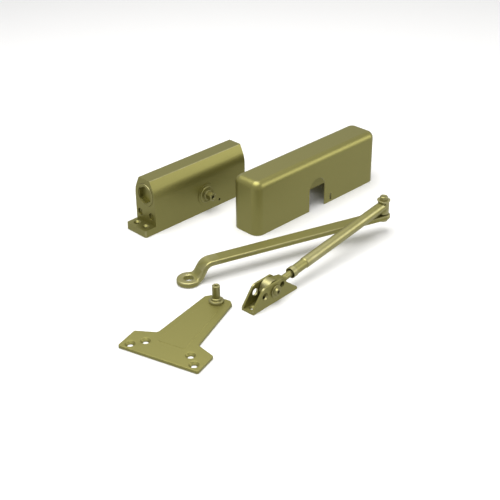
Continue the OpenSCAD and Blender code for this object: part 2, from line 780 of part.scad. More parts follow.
// Threaded sleeve that guides the rod inside the tube
module rod_guide() {
    color(STEEL) at_forearm() difference() {
        bar_x(guide_x, guide_x + guide_len - 3.2, tube_bore / 2 - run_gap);
        bar_x(guide_x - 1, guide_x + guide_len, rod_d / 2 - 1 + 0.02);
    }
}

// ---------------------------------------------------------------- shoe

module ear_profile() {
    polygon(outline([[0, 0, 0], [shoe_len, 0, 0], [shoe_len, 3.5, 2], [pivot_x + 11.5, ear_h, 4],
        [pivot_x - 22.5, ear_h, 8], [0, 4.5, 4]]));
}

module shoe_bracket() {
    color(BRASS) at_shoe() difference() {
        union() {
            for (y = [0, shoe_w - shoe_t])
                translate([0, y + shoe_t, 0]) rotate([90, 0, 0]) linear_extrude(shoe_t) ear_profile();
            cube([shoe_len, shoe_w, shoe_t]);
        }
        bar_y(-1, shoe_w + 1, 5.2, pivot_x - 20, ear_h - 12);
        bar_y(-1, shoe_w + 1, 4.3, pivot_x + 13.2, ear_h - 8.3);
        bar_y(-1, shoe_w + 1, pivot_d / 2 + run_gap, pivot_x, pivot_z);
        for (s = [-1, 1])
            translate([shoe_len / 2 + s * shoe_hole_pitch / 2, shoe_w / 2, 0]) sunk_hole(5.2, 9, shoe_t);
    }
}

module shoe_pivot_screw() {
    color(BRASS) at_pivot() difference() {
        union() {
            bar_y(-shoe_w / 2 - 2, shoe_w / 2 + 6.5, pivot_d / 2);
            bar_y(-shoe_w / 2 - 2.2, -shoe_w / 2 - 0.1, 8.8);
            bar_y(-shoe_w / 2 - 2.2 - pin_head_t, -shoe_w / 2 - 2.2, 4.6, 0, 0, 5.6);
        }
        for (a = [0, 60, 120]) rotate([0, a, 0])
            translate([-3, -shoe_w / 2 - 3 - pin_head_t, -0.7]) cube([6, 3, 1.4]);
    }
}

module shoe_pivot_nut() {
    color(BRASS) at_pivot() difference() {
        hex_y(shoe_w / 2 + 0.1, shoe_w / 2 + 5.5, 11, 0, 0);
        bar_y(0, shoe_w, pivot_d / 2 + 0.02);
    }
}

module shoe_spacers() {
    t = 0.8;
    color(STEEL) at_pivot() for (y = [-rod_eye_w / 2 - 0.05 - t, rod_eye_w / 2 + 0.05]) difference() {
        bar_y(y, y + t, 7);
        bar_y(y - 1, y + t + 1, pivot_d / 2 + run_gap);
    }
}

// ---------------------------------------------------------------- soffit bracket

module plate_outline() {
    r = 2.5;
    a = cross_len / 2;
    b = stem_root_w / 2;
    c = stem_tip_w / 2;
    polygon(outline([[-a, 0, r], [a, 0, r], [a, cross_d, r], [b, cross_d + 11, 6], [c, plate_reach - 6, r],
        [c - 6, plate_reach, r], [6 - c, plate_reach, r], [-c, plate_reach - 6, r], [-b, cross_d + 11, 6], [-a, cross_d, r]]));
}

module bracket_plate() {
    color(BRASS) at_bracket() difference() {
        linear_extrude(plate_t) plate_outline();
        for (s = [-1, 1]) {
            translate([s * (cross_len / 2 - 11.5), 10, 0]) sunk_hole(plate_hole_d, plate_sink_d, plate_t);
            translate([s * (cross_len / 2 - 25), 24, 0]) sunk_hole(plate_hole_d, plate_sink_d, plate_t);
        }
        translate([0, plate_reach - post_inset, -1]) cylinder(h = plate_t + 2, d = post_d - 2 + 2 * 0.02);
    }
}

module bracket_stud() {
    color(STEEL) at_bracket() translate([0, plate_reach - post_inset, 0]) difference() {
        union() {
            translate([0, 0, 0.2]) cylinder(h = plate_t, d = post_d - 2);
            translate([0, 0, plate_t]) cylinder(h = boss_t, d1 = boss_d, d2 = boss_d - 2);
            translate([0, 0, plate_t + boss_t - eps]) cylinder(h = 2.5, d = post_d + 2.5);
            translate([0, 0, plate_t + boss_t]) cylinder(h = post_h - plate_t - boss_t - 0.8, d = post_d);
            translate([0, 0, post_h - 0.8 - eps]) cylinder(h = 0.8 + eps, d1 = post_d, d2 = post_d - 1.6);
        }
        translate([0, 0, post_h - 14]) cylinder(h = 15, d = 4.2);
    }
}

housing();
left_end_plug();
right_end_plug();
end_plug_seals();
front_bearing_nut();
back_bearing_nut();
pinion_bearings();
pinion_seals();
pinion_shaft();
piston();
piston_check_ball();
piston_check_plug();
closing_spring();
spring_seat();
power_adjuster();
adjuster_circlip();
sweep_valve();
latch_valve();
sweep_valve_seal();
latch_valve_seal();
cover();
main_arm();
elbow_stud();
elbow_washer();
elbow_bush();
forearm_tube();
rod_clamp_screw();
barrel_grub_screw();
forearm_rod();
rod_guide();
shoe_bracket();
shoe_pivot_screw();
shoe_pivot_nut();
shoe_spacers();
bracket_plate();
bracket_stud();
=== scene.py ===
"""Door closer kit in satin gold: closer body, box cover, main arm, forearm with its shoe, and a soffit bracket."""

import json
import math

import bmesh
import bpy
from bpy.props import FloatProperty, FloatVectorProperty, IntProperty, PointerProperty
from mathutils import Matrix, Vector

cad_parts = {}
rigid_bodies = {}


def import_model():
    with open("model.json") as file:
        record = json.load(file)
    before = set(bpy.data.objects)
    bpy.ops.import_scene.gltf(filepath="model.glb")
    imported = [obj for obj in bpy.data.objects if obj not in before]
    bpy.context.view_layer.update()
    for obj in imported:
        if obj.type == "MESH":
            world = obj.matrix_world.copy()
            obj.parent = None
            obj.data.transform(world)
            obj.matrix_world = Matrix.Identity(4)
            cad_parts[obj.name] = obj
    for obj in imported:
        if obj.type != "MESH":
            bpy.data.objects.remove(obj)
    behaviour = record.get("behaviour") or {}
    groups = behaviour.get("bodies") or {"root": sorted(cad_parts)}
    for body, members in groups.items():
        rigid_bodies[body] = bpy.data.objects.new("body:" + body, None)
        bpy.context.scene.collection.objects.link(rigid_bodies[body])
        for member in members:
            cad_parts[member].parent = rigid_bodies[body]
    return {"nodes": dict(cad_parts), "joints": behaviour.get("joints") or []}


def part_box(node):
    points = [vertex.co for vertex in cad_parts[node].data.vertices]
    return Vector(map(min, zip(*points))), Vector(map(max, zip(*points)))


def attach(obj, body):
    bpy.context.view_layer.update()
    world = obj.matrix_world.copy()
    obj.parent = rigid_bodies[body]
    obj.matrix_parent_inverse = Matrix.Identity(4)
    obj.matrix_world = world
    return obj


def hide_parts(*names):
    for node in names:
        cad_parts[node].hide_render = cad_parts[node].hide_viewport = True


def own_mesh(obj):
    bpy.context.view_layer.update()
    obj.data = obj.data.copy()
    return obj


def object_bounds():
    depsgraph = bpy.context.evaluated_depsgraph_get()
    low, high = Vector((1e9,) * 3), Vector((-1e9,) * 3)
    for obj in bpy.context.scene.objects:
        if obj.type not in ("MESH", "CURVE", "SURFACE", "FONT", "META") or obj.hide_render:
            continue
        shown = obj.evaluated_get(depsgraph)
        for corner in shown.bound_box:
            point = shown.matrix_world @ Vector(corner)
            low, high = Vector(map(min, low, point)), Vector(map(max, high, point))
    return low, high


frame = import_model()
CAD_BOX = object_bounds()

bl_info = {
    "name": "Door closer kit",
    "version": (1, 0, 0),
    "blender": (4, 5, 0),
    "location": "View3D > Sidebar > Closer",
    "description": "Builds the painted and machined parts of a surface door closer around its frame",
    "category": "Object",
}

MM = 0.001
TAU = 2 * math.pi
SMOOTH_ANGLE = math.radians(34)
NODES = frame["nodes"]
JOINTS = {j["name"]: j for j in frame["joints"]}


def middle(node):
    """Centre of a CAD node's box."""
    low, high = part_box(node)
    return (low + high) / 2


# ---- sizes and colours


def millimetres(name, description, value):
    return FloatProperty(name=name, description=description, default=value * MM, unit="LENGTH")


def degrees(name, description, value):
    return FloatProperty(name=name, description=description, default=math.radians(value), subtype="ANGLE")


def tint(name, description, value):
    return FloatVectorProperty(name=name, description=description, subtype="COLOR", size=3, min=0, max=1,
                               default=value)


def strength(name, description, value):
    return FloatProperty(name=name, description=description, default=value, min=0)


class CloserSizes(bpy.types.PropertyGroup):
    """Sizes of the pieces that are made here, in the frame's metres"""

    casting_edge: millimetres("Casting edge", "Radius of the closer body's outer edges", 0.9)
    fine_edge: millimetres("Fine edge", "Radius of machined edges and hole rims", 0.3)
    forged_edge: millimetres("Forged edge", "Radius of the main arm's edges", 2.2)
    sheet_edge: millimetres("Sheet edge", "Radius of the edges of the pressed plates", 0.55)
    cover_corner: millimetres("Cover corner", "Radius of the cover's upright corners", 13)
    cover_top_edge: millimetres("Cover top edge", "Radius of the cover's top edges", 11)
    cover_wall: millimetres("Cover wall", "Thickness of the cover's wall", 2)
    arm_turn: degrees("Main arm turn", "Turn of the main arm about Z", -18.13)
    arm_length: millimetres("Main arm length", "Distance from the eye to the elbow", 308.5)
    bracket_turn: degrees("Bracket turn", "Turn of the soffit bracket about Z", -73.7)
    spring_wire: millimetres("Spring wire", "Diameter of the closing spring's wire", 3.6)
    spring_turns: FloatProperty(name="Spring turns", description="Turns of the closing spring",
                                default=11.0, min=4.0, max=20.0)
    needle_count: IntProperty(name="Needles", description="Needles in each pinion bearing", default=18, min=8, max=32)


class CloserFinish(bpy.types.PropertyGroup):
    """Colours of the finishes"""

    paint: tint("Gold paint", "Colour of the satin gold paint", (0.245, 0.229, 0.072))
    paint_light: tint("Worn gold", "Colour of the paint where edges have rubbed thin", (0.40, 0.375, 0.20))
    plating: tint("Gold plating", "Colour of plated screws and studs", (0.27, 0.252, 0.092))
    steel: tint("Bare steel", "Colour of machined steel", (0.42, 0.42, 0.41))
    spring: tint("Spring steel", "Colour of oiled spring wire", (0.10, 0.105, 0.12))
    bronze: tint("Bronze", "Colour of the bushes and valves", (0.46, 0.29, 0.10))
    rubber: tint("Rubber", "Colour of the seals", (0.012, 0.012, 0.013))
    floor: tint("Floor", "Colour of the floor", (0.86, 0.86, 0.86))


class CloserStage(bpy.types.PropertyGroup):
    """Camera and lights"""

    camera_place: FloatVectorProperty(name="Camera", description="Place of the camera", subtype="XYZ",
                                      size=3, default=(-0.9345, -1.0739, 0.750))
    camera_aim: FloatVectorProperty(name="Aim", description="Direction in which the camera looks", subtype="XYZ",
                                    size=3, default=(0.6062, 0.6165, -0.5024))
    camera_roll: degrees("Roll", "Roll of the camera", -0.63)
    lens: FloatProperty(name="Lens", description="Focal length on a 36 mm sensor, in millimetres",
                        default=75.67, min=20, max=200)
    sky_strength: strength("Sky", "Strength of the pale surroundings", 0.62)
    low_strength: strength("Low surroundings", "Strength of the surroundings below the horizon", 0.72)
    top_power: strength("Top light", "Power of the soft light overhead, in watts", 22.0)
    side_power: strength("Side light", "Power of the soft light at the front right, in watts", 9.0)


# ---- node helpers


class Tree:
    """Short way to add and link nodes"""

    def __init__(self, tree):
        self.tree = tree

    def add(self, kind, **settings):
        node = self.tree.nodes.new(kind)
        feeds = settings.pop("feeds", {})
        for name, value in settings.items():
            setattr(node, name, value)
        for name, value in feeds.items():
            self.feed(node, name, value)
        return node

    def feed(self, node, name, value):
        socket = node.inputs[name]
        if isinstance(value, tuple) and isinstance(value[0], bpy.types.Node):
            self.tree.links.new(value[0].outputs[value[1]], socket)
        elif isinstance(value, bpy.types.Node):
            self.tree.links.new(value.outputs[0], socket)
        else:
            socket.default_value = value

    def sum(self, operation, a, b=0.0, clamp=False):
        return self.add("ShaderNodeMath", operation=operation, use_clamp=clamp, feeds={0: a, 1: b})

    def noise(self, vector, scale, detail=3.0, rough=0.55):
        return self.add("ShaderNodeTexNoise",
                        feeds={"Vector": vector, "Scale": scale, "Detail": detail, "Roughness": rough})

    def span(self, value, low, high, to_low, to_high):
        return self.add("ShaderNodeMapRange", feeds={"Value": value, "From Min": low, "From Max": high,
                                                     "To Min": to_low, "To Max": to_high})

    def blend(self, share, a, b):
        node = self.add("ShaderNodeMix", data_type="RGBA")
        self.feed(node, 0, share)
        self.feed(node, 6, a)
        self.feed(node, 7, b)
        return (node, 2)


def colour(value, gain=1.0):
    return tuple(min(1.0, c * gain) for c in value) + (1.0,)


def new_material(name):
    material = bpy.data.materials.new(name)
    material.use_nodes = True
    tree = Tree(material.node_tree)
    shader = next(n for n in material.node_tree.nodes if n.type == "BSDF_PRINCIPLED")
    place = (tree.add("ShaderNodeTexCoord"), "Object")
    return material, tree, shader, place


def painted_metal(name, base, worn, gain=1.0, rough=0.40, peel=0.06, flake=1.0):
    """Satin metallic paint: fine flakes, faint orange peel and edges where it has rubbed thin."""
    material, tree, shader, place = new_material(name)
    flakes = tree.noise(place, 2600.0, 2.0, 0.7)
    spray = tree.noise(place, 14.0, 4.0, 0.6)
    grime = tree.noise(place, 70.0, 5.0, 0.65)
    tone = tree.blend(tree.span((flakes, "Fac"), 0.34, 0.68, 0.0, flake), colour(base, gain * 0.95),
                      colour(base, gain * 1.06))
    edge = tree.add("ShaderNodeAttribute", attribute_name="edge_wear")
    rub = tree.sum("MULTIPLY", (edge, "Fac"), tree.span((grime, "Fac"), 0.42, 0.66, 0.45, 0.8), clamp=True)
    tone = tree.blend(rub, tone, colour(worn, gain))
    tree.feed(shader, "Base Color", tone)
    shader.inputs["Metallic"].default_value = 0.86
    shader.inputs["Specular IOR Level"].default_value = 0.5
    gloss = tree.span((flakes, "Fac"), 0.3, 0.7, rough - 0.03, rough + 0.03)
    gloss = tree.sum("ADD", gloss, tree.span((spray, "Fac"), 0.3, 0.7, -0.006, 0.006))
    gloss = tree.sum("SUBTRACT", gloss, tree.sum("MULTIPLY", rub, 0.06))
    tree.feed(shader, "Roughness", gloss)
    orange = tree.noise(place, 420.0, 2.0, 0.5)
    height = tree.sum("ADD", (orange, "Fac"), tree.sum("MULTIPLY", (flakes, "Fac"), 0.35))
    bump = tree.add("ShaderNodeBump", feeds={"Strength": peel, "Distance": 0.00025, "Height": height})
    tree.feed(shader, "Normal", bump)
    return material


def machined_metal(name, base, along=(1.0, 0.02, 0.02), rough=0.3, gain=1.0, metal=1.0, stain=0.25, pits=0.0):
    """Turned or ground metal: fine tool marks across one axis, slow stains and, if asked, pores."""
    material, tree, shader, place = new_material(name)
    stretch = tree.add("ShaderNodeMapping", feeds={"Vector": place, "Scale": along})
    marks = tree.noise(stretch, 5200.0, 3.0, 0.7)
    stains = tree.noise(place, 120.0, 4.0, 0.6)
    edge = tree.add("ShaderNodeAttribute", attribute_name="edge_wear")
    tone = tree.blend(tree.span((marks, "Fac"), 0.3, 0.7, 0.0, 1.0), colour(base, gain * 0.88),
                      colour(base, gain * 1.12))
    tone = tree.blend(tree.span((stains, "Fac"), 0.45, 0.75, 0.0, stain), tone, colour(base, gain * 0.62))
    tone = tree.blend(tree.sum("MULTIPLY", (edge, "Fac"), 0.5, clamp=True), tone, colour(base, gain * 1.5))
    tree.feed(shader, "Base Color", tone)
    shader.inputs["Metallic"].default_value = metal
    gloss = tree.sum("ADD", tree.span((marks, "Fac"), 0.3, 0.7, rough - 0.06, rough + 0.08),
                     tree.span((stains, "Fac"), 0.4, 0.75, 0.0, 0.12))
    tree.feed(shader, "Roughness", gloss)
    height = (marks, "Fac")
    if pits:
        pore = tree.add("ShaderNodeTexVoronoi", feeds={"Vector": place, "Scale": 2400.0})
        height = tree.sum("ADD", height, tree.span((pore, "Distance"), 0.0, 0.4, -pits, 0.0))
    bump = tree.add("ShaderNodeBump", feeds={"Strength": 0.12, "Distance": 0.00006, "Height": height})
    tree.feed(shader, "Normal", bump)
    return material


def moulded_rubber(name, base):
    """Matt black rubber with a fine grain and a little bloom."""
    material, tree, shader, place = new_material(name)
    grain = tree.noise(place, 1800.0, 3.0, 0.6)
    bloom = tree.noise(place, 160.0, 4.0, 0.6)
    tone = tree.blend(tree.span((bloom, "Fac"), 0.45, 0.8, 0.0, 0.6), colour(base), colour((0.05, 0.05, 0.05)))
    tree.feed(shader, "Base Color", tone)
    tree.feed(shader, "Roughness", tree.span((grain, "Fac"), 0.3, 0.7, 0.55, 0.75))
    bump = tree.add("ShaderNodeBump", feeds={"Strength": 0.2, "Distance": 0.00005, "Height": (grain, "Fac")})
    tree.feed(shader, "Normal", bump)
    return material


def finish(name):
    """The finish with this name, made once."""
    found = bpy.data.materials.get(name)
    if found:
        return found
    look = bpy.context.scene.closer_finish
    paint, worn = look.paint, look.paint_light
    # painted light: the real parts share one gold paint, and the gains below make lighter and darker copies of it,
    # part by part, to make up for how brightly each part is lit
    makers = {
        "gold_body": lambda: painted_metal(name, paint, worn, 1.0, 0.385),
        "gold_cover": lambda: painted_metal(name, paint, worn, 1.08, 0.40),
        "gold_arm": lambda: painted_metal(name, paint, worn, 1.12, 0.41, 0.10),
        "gold_plate": lambda: painted_metal(name, paint, worn, 1.12, 0.44, 0.06),
        "gold_fitting": lambda: painted_metal(name, look.plating, worn, 1.0, 0.36, 0.08),
        "gold_plug": lambda: painted_metal(name, paint, worn, 0.98, 0.38, 0.08),
        "slot_brass": lambda: machined_metal(name, look.plating, (0.03, 1.0, 1.0), 0.30, 1.1),
        "turned_steel": lambda: machined_metal(name, look.steel, (1.0, 0.03, 0.03), 0.27),
        "ground_steel": lambda: machined_metal(name, look.steel, (0.05, 1.0, 1.0), 0.2, 1.1),
        "spring_wire": lambda: machined_metal(name, look.spring, (0.3, 0.3, 0.3), 0.34, 1.0, 1.0, 0.5),
        "porous_bronze": lambda: machined_metal(name, look.bronze, (0.2, 0.2, 1.0), 0.42, 1.0, 1.0, 0.4, 0.9),
        "seal_rubber": lambda: moulded_rubber(name, look.rubber),
    }
    return makers[name]()


# ---- mesh helpers


def new_object(name, mesh):
    piece = bpy.data.objects.new(name, mesh)
    bpy.context.scene.collection.objects.link(piece)
    return piece


def from_bmesh(name, bm):
    mesh = bpy.data.meshes.new(name)
    bm.to_mesh(mesh)
    bm.free()
    return new_object(name, mesh)


def settle(piece):
    """Puts the result of the modifiers into the mesh and takes the modifiers off."""
    bpy.context.view_layer.update()
    seen = piece.evaluated_get(bpy.context.evaluated_depsgraph_get())
    mesh = bpy.data.meshes.new_from_object(seen)
    mesh.name = piece.name
    piece.modifiers.clear()
    piece.data = mesh
    return piece


def mark_wear(mesh, reach=0.35, narrow=1.5 * MM):
    """Stores how sharply each point of a narrow edge strip stands out of its surroundings, for rubbed edges."""
    total = [0.0] * len(mesh.vertices)
    points = [v.co for v in mesh.vertices]
    normals = [v.normal for v in mesh.vertices]
    for e in mesh.edges:
        a, b = e.vertices
        step = points[b] - points[a]
        length = step.length
        if length < 1e-7:
            continue
        bend = (normals[b] - normals[a]).dot(step) / length
        for v in (a, b):
            total[v] = max(total[v], bend)
    # a point on a broad face would spread its wear over the whole face
    for face in mesh.polygons:
        corners = [points[v] for v in face.vertices]
        longest = max((a - b).length for a, b in zip(corners, corners[1:] + corners[:1]))
        if longest > 0 and face.area / longest > narrow:
            for v in face.vertices:
                total[v] = 0.0
    wear = mesh.attributes.new("edge_wear", "FLOAT", "POINT")
    wear.data.foreach_set("value", [min(1.0, max(0.0, t / reach - 0.15)) for t in total])


def dress(piece, body, slot, material, *replaced, wear=True):
    """Smooths a finished piece, gives it its finish, ties it to its body and hides the CAD nodes it replaces. slot is
    not used.
    """
    mesh = piece.data
    mesh.shade_smooth()
    mesh.set_sharp_from_angle(angle=SMOOTH_ANGLE)
    weigh = piece.modifiers.new("Even shading", "WEIGHTED_NORMAL")
    weigh.keep_sharp = True
    weigh.weight = 50
    settle(piece)
    if wear:
        mark_wear(piece.data)
    piece.data.materials.clear()
    piece.data.materials.append(finish(material))
    for face in piece.data.polygons:
        face.material_index = 0
    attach(piece, body)
    if replaced:
        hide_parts(*replaced)
    return piece


def softened(node, name, width, steps=2, angle=32, weights=None, weld=1e-6):
    """A merged copy of a CAD node with its edges rounded. weights says how much of the width each edge takes."""
    bm = bmesh.new()
    bm.from_mesh(NODES[node].data)
    bmesh.ops.remove_doubles(bm, verts=bm.verts, dist=weld)
    bmesh.ops.dissolve_degenerate(bm, dist=weld, edges=bm.edges)
    bmesh.ops.dissolve_limit(bm, angle_limit=math.radians(0.6), verts=bm.verts, edges=bm.edges, delimit=set())
    layer = bm.edges.layers.float.new("bevel_weight_edge")
    bm.normal_update()
    for edge in bm.edges:
        if len(edge.link_faces) != 2 or edge.calc_face_angle(0.0) < math.radians(angle):
            continue
        edge[layer] = weights(edge) if weights else 1.0
    piece = from_bmesh(name, bm)
    bevel = piece.modifiers.new("Soft edges", "BEVEL")
    bevel.width = width
    bevel.segments = steps
    bevel.limit_method = "WEIGHT"
    bevel.use_clamp_overlap = True
    bevel.miter_outer = "MITER_ARC"
    return settle(piece)


def arc(centre, radius, start, end, steps):
    return [(centre[0] + radius * math.cos(start + (end - start) * i / steps),
             centre[1] + radius * math.sin(start + (end - start) * i / steps)) for i in range(steps + 1)]


def circle(centre, radius, steps, clockwise=True):
    points = arc(centre, radius, 0, TAU, steps)[:-1]
    return points[::-1] if clockwise else points


def outline(rows, steps=6):
    """Counter-clockwise polygon from (x, y, corner radius) rows."""
    points = []
    for i, (x, y, r) in enumerate(rows):
        if r <= 0:
            points.append((x, y))
            continue
        b = Vector((x, y))
        u = (Vector(rows[i - 1][:2]) - b).normalized()
        v = (Vector(rows[(i + 1) % len(rows)][:2]) - b).normalized()
        half = math.acos(max(-1, min(1, u.dot(v)))) / 2
        m = b + (u + v).normalized() * (r / math.sin(half))
        s, e = b + u * (r / math.tan(half)) - m, b + v * (r / math.tan(half)) - m
        start = math.atan2(s.y, s.x)
        turn = (math.atan2(e.y, e.x) - start + math.pi) % TAU - math.pi
        points += arc(m, r, start, start + turn, steps)
    return points


def shifted(points, inset):
    """The loop moved by inset towards its left-hand side, which is where the material is."""
    n = len(points)
    moved = []
    for i in range(n):
        p = Vector(points[i])
        a = (p - Vector(points[i - 1])).normalized()
        b = (Vector(points[(i + 1) % n]) - p).normalized()
        na, nb = Vector((-a.y, a.x)), Vector((-b.y, b.x))
        way = na + nb
        if way.length < 1e-9:
            way = na
        way.normalize()
        moved.append(p + way * (inset / max(0.25, way.dot(na))))
    return moved


def rounded_wall(thickness, edge, steps=3):
    """(height, inset) rows of a wall with a rounded edge at the bottom and the top."""
    low = [(edge - edge * math.cos(math.pi / 2 * i / steps), edge - edge * math.sin(math.pi / 2 * i / steps))
           for i in range(steps + 1)]
    high = [(thickness - z, inset) for z, inset in reversed(low)]
    return low + high


def bridge(bm, a, b, inward=False):
    """Joins two loops of points with a ring of faces."""
    for i in range(len(a)):
        j = (i + 1) % len(a)
        bm.faces.new((a[j], a[i], b[i], b[j]) if inward else (a[i], a[j], b[j], b[i]))


def border(bm, loop):
    """Edges of a loop of points."""
    return [bm.edges.get((loop[i], loop[i - 1])) for i in range(len(loop))]


def fill(bm, edges, up):
    """Closes a flat face, with its holes, in triangles."""
    bmesh.ops.triangle_fill(bm, use_beauty=True, use_dissolve=False, normal=(0, 0, up), edges=edges)


def slab(contours, panel=None):
    """A flat plate. contours holds (loop, wall rows); panel holds (loop, rise, slope) of a raised field on top."""
    bm = bmesh.new()
    low_edges, high_edges = [], []
    for loop, wall in contours:
        rings = []
        for z, inset in wall:
            rings.append([bm.verts.new((p.x, p.y, z)) for p in shifted(loop, inset)])
        for lower, upper in zip(rings, rings[1:]):
            bridge(bm, lower, upper)
        low_edges += border(bm, rings[0])
        high_edges += border(bm, rings[-1])
    top = contours[0][1][-1][0]
    if panel:
        loop, rise, slope = panel
        outer = [bm.verts.new((x, y, top)) for x, y in loop]
        inner = [bm.verts.new((p.x, p.y, top + rise)) for p in shifted(loop, slope)]
        bridge(bm, outer, inner)
        high_edges += border(bm, outer)
        fill(bm, border(bm, inner), 1)
    fill(bm, high_edges, 1)
    fill(bm, low_edges, -1)
    bmesh.ops.recalc_face_normals(bm, faces=bm.faces)
    return bm


def turned(rows, steps=64, hollow=False):
    """A lathed solid about X from (x, radius) rows, closed at both ends, or with a bore where the rows return."""
    bm = bmesh.new()
    rings = []
    for x, r in rows:
        if r < 1e-7:
            rings.append([bm.verts.new((x, 0, 0))])
        else:
            rings.append([bm.verts.new((x, r * math.cos(TAU * i / steps), r * math.sin(TAU * i / steps)))
                          for i in range(steps)])
    pairs = list(zip(rings, rings[1:]))
    if hollow:
        pairs.append((rings[-1], rings[0]))
    for a, b in pairs:
        for i in range(steps):
            j = (i + 1) % steps
            corners = [a[i % len(a)], a[j % len(a)], b[j % len(b)], b[i % len(b)]]
            corners = list(dict.fromkeys(corners))
            if len(corners) > 2:
                bm.faces.new(corners)
    bmesh.ops.recalc_face_normals(bm, faces=bm.faces)
    return bm


def knee(rows, radius, steps=3):
    """Lathe rows with every inner corner rounded by radius."""
    soft = [rows[0]]
    for a, b, c in zip(rows, rows[1:], rows[2:]):
        va, vc = Vector(a) - Vector(b), Vector(c) - Vector(b)
        reach = min(radius, va.length * 0.45, vc.length * 0.45)
        start, end = Vector(b) + va.normalized() * reach, Vector(b) + vc.normalized() * reach
        for i in range(steps + 1):
            t = i / steps
            soft.append(tuple((1 - t) ** 2 * start + 2 * t * (1 - t) * Vector(b) + t * t * end))
    return soft + [rows[-1]]


def upright(place):
    """Matrix that stands a piece lathed about X on end at place."""
    return Matrix.Translation(place) @ Matrix.Rotation(-math.pi / 2, 4, "Y")


def cut(piece, tool):
    """Takes tool away from piece."""
    change = piece.modifiers.new("Cut", "BOOLEAN")
    change.operation = "DIFFERENCE"
    change.solver = "EXACT"
    change.object = tool
    settle(piece)
    bpy.data.objects.remove(tool)


# ---- Geometry Nodes


class Growth(Tree):
    """A Geometry Nodes group with named inputs"""

    def __init__(self, name, inputs):
        group = bpy.data.node_groups.new(name, "GeometryNodeTree")
        super().__init__(group)
        self.ids = {}
        for label, kind, value in inputs:
            socket = group.interface.new_socket(label, in_out="INPUT", socket_type=kind)
            if value is not None:
                socket.default_value = value
            self.ids[label] = socket.identifier
        group.interface.new_socket("Geometry", in_out="OUTPUT", socket_type="NodeSocketGeometry")
        self.given = group.nodes.new("NodeGroupInput")
        self.result = group.nodes.new("NodeGroupOutput")

    def read(self, label):
        return (self.given, label)

    def end(self, geometry):
        real = self.add("GeometryNodeRealizeInstances", feeds={"Geometry": geometry})
        paint = self.add("GeometryNodeSetMaterial", feeds={"Geometry": real, "Material": self.read("Finish")})
        self.tree.links.new(paint.outputs[0], self.result.inputs[0])

    def grow(self, name, values):
        """Makes an object from the group, with these input values, as a plain mesh."""
        piece = new_object(name, bpy.data.meshes.new(name))
        change = piece.modifiers.new("Grow", "NODES")
        change.node_group = self.tree
        for label, value in values.items():
            change[self.ids[label]] = value
        return settle(piece)


def coil_growth():
    """Wire wound about X between Start and End, with closed end turns and the wire's own section."""
    g = Growth("Wound coil", [
        ("Start", "NodeSocketFloat", 0.0), ("End", "NodeSocketFloat", 0.06), ("Radius", "NodeSocketFloat", 0.009),
        ("Wire", "NodeSocketFloat", 0.0018), ("Turns", "NodeSocketFloat", 10.0), ("Closed", "NodeSocketFloat", 0.12),
        ("Points", "NodeSocketInt", 400), ("Sides", "NodeSocketInt", 12), ("Finish", "NodeSocketMaterial", None)])
    line = g.add("GeometryNodeCurvePrimitiveLine")
    path = g.add("GeometryNodeResampleCurve", feeds={"Curve": line, "Count": g.read("Points")})
    share = (g.add("GeometryNodeSplineParameter"), "Factor")
    # the pitch fades out over the closed part at each end, so the last turns lie flat
    rise = g.add("ShaderNodeMapRange", interpolation_type="SMOOTHSTEP",
                 feeds={"Value": share, "From Min": g.sum("MULTIPLY", g.read("Closed"), 0.35),
                        "From Max": g.sum("SUBTRACT", 1.0, g.sum("MULTIPLY", g.read("Closed"), 0.35))})
    even = g.sum("ADD", g.sum("MULTIPLY", share, 0.75), g.sum("MULTIPLY", rise, 0.25))
    x = g.add("ShaderNodeMapRange", feeds={"Value": even, "To Min": g.read("Start"), "To Max": g.read("End")})
    angle = g.sum("MULTIPLY", g.sum("MULTIPLY", share, g.read("Turns")), TAU)
    y = g.sum("MULTIPLY", g.sum("COSINE", angle), g.read("Radius"))
    z = g.sum("MULTIPLY", g.sum("SINE", angle), g.read("Radius"))
    spot = g.add("ShaderNodeCombineXYZ", feeds={"X": x, "Y": y, "Z": z})
    wound = g.add("GeometryNodeSetPosition", feeds={"Geometry": path, "Position": spot})
    ring = g.add("GeometryNodeCurvePrimitiveCircle", feeds={"Resolution": g.read("Sides"), "Radius": g.read("Wire")})
    body = g.add("GeometryNodeCurveToMesh", feeds={"Curve": wound, "Profile Curve": ring, "Fill Caps": True})
    g.end(body)
    return g


def ring_growth():
    """Rods that lie along X, set in a ring about X, as needles in a bearing."""
    g = Growth("Needle ring", [
        ("Start", "NodeSocketFloat", 0.0), ("Length", "NodeSocketFloat", 0.006), ("Radius", "NodeSocketFloat", 0.009),
        ("Needle", "NodeSocketFloat", 0.0012), ("Count", "NodeSocketInt", 18), ("Sides", "NodeSocketInt", 14),
        ("Finish", "NodeSocketMaterial", None)])
    ring = g.add("GeometryNodeMeshCircle", feeds={"Vertices": g.read("Count"), "Radius": g.read("Radius")})
    rod = g.add("GeometryNodeMeshCylinder", feeds={"Vertices": g.read("Sides"), "Radius": g.read("Needle"),
                                                   "Depth": g.read("Length")})
    many = g.add("GeometryNodeInstanceOnPoints", feeds={"Points": ring, "Instance": (rod, "Mesh")})
    turn = g.add("ShaderNodeCombineXYZ", feeds={"X": 0.0, "Y": math.pi / 2, "Z": 0.0})
    slide = g.add("ShaderNodeCombineXYZ",
                  feeds={"X": g.sum("ADD", g.read("Start"), g.sum("MULTIPLY", g.read("Length"), 0.5))})
    laid = g.add("GeometryNodeTransform", feeds={"Geometry": many, "Rotation": turn, "Translation": slide})
    g.end(laid)
    return g


GROWTHS = {}


def growth(kind):
    if kind not in GROWTHS:
        GROWTHS[kind] = {"coil": coil_growth, "ring": ring_growth}[kind]()
    return GROWTHS[kind]


def thread_on(name, start, end, radius, pitch, place, body, slot, material):
    """A helical thread ridge about the local X axis of place, from start to end."""
    piece = growth("coil").grow(name, {
        "Start": start, "End": end, "Radius": radius - pitch * 0.30, "Wire": pitch * 0.30,
        "Turns": (end - start) / pitch, "Closed": 0.0, "Points": int(40 * (end - start) / pitch), "Sides": 6,
        "Finish": finish(material)})
    piece.data.transform(place)
    return dress(piece, body, slot, material, wear=False)


# ---- closer body


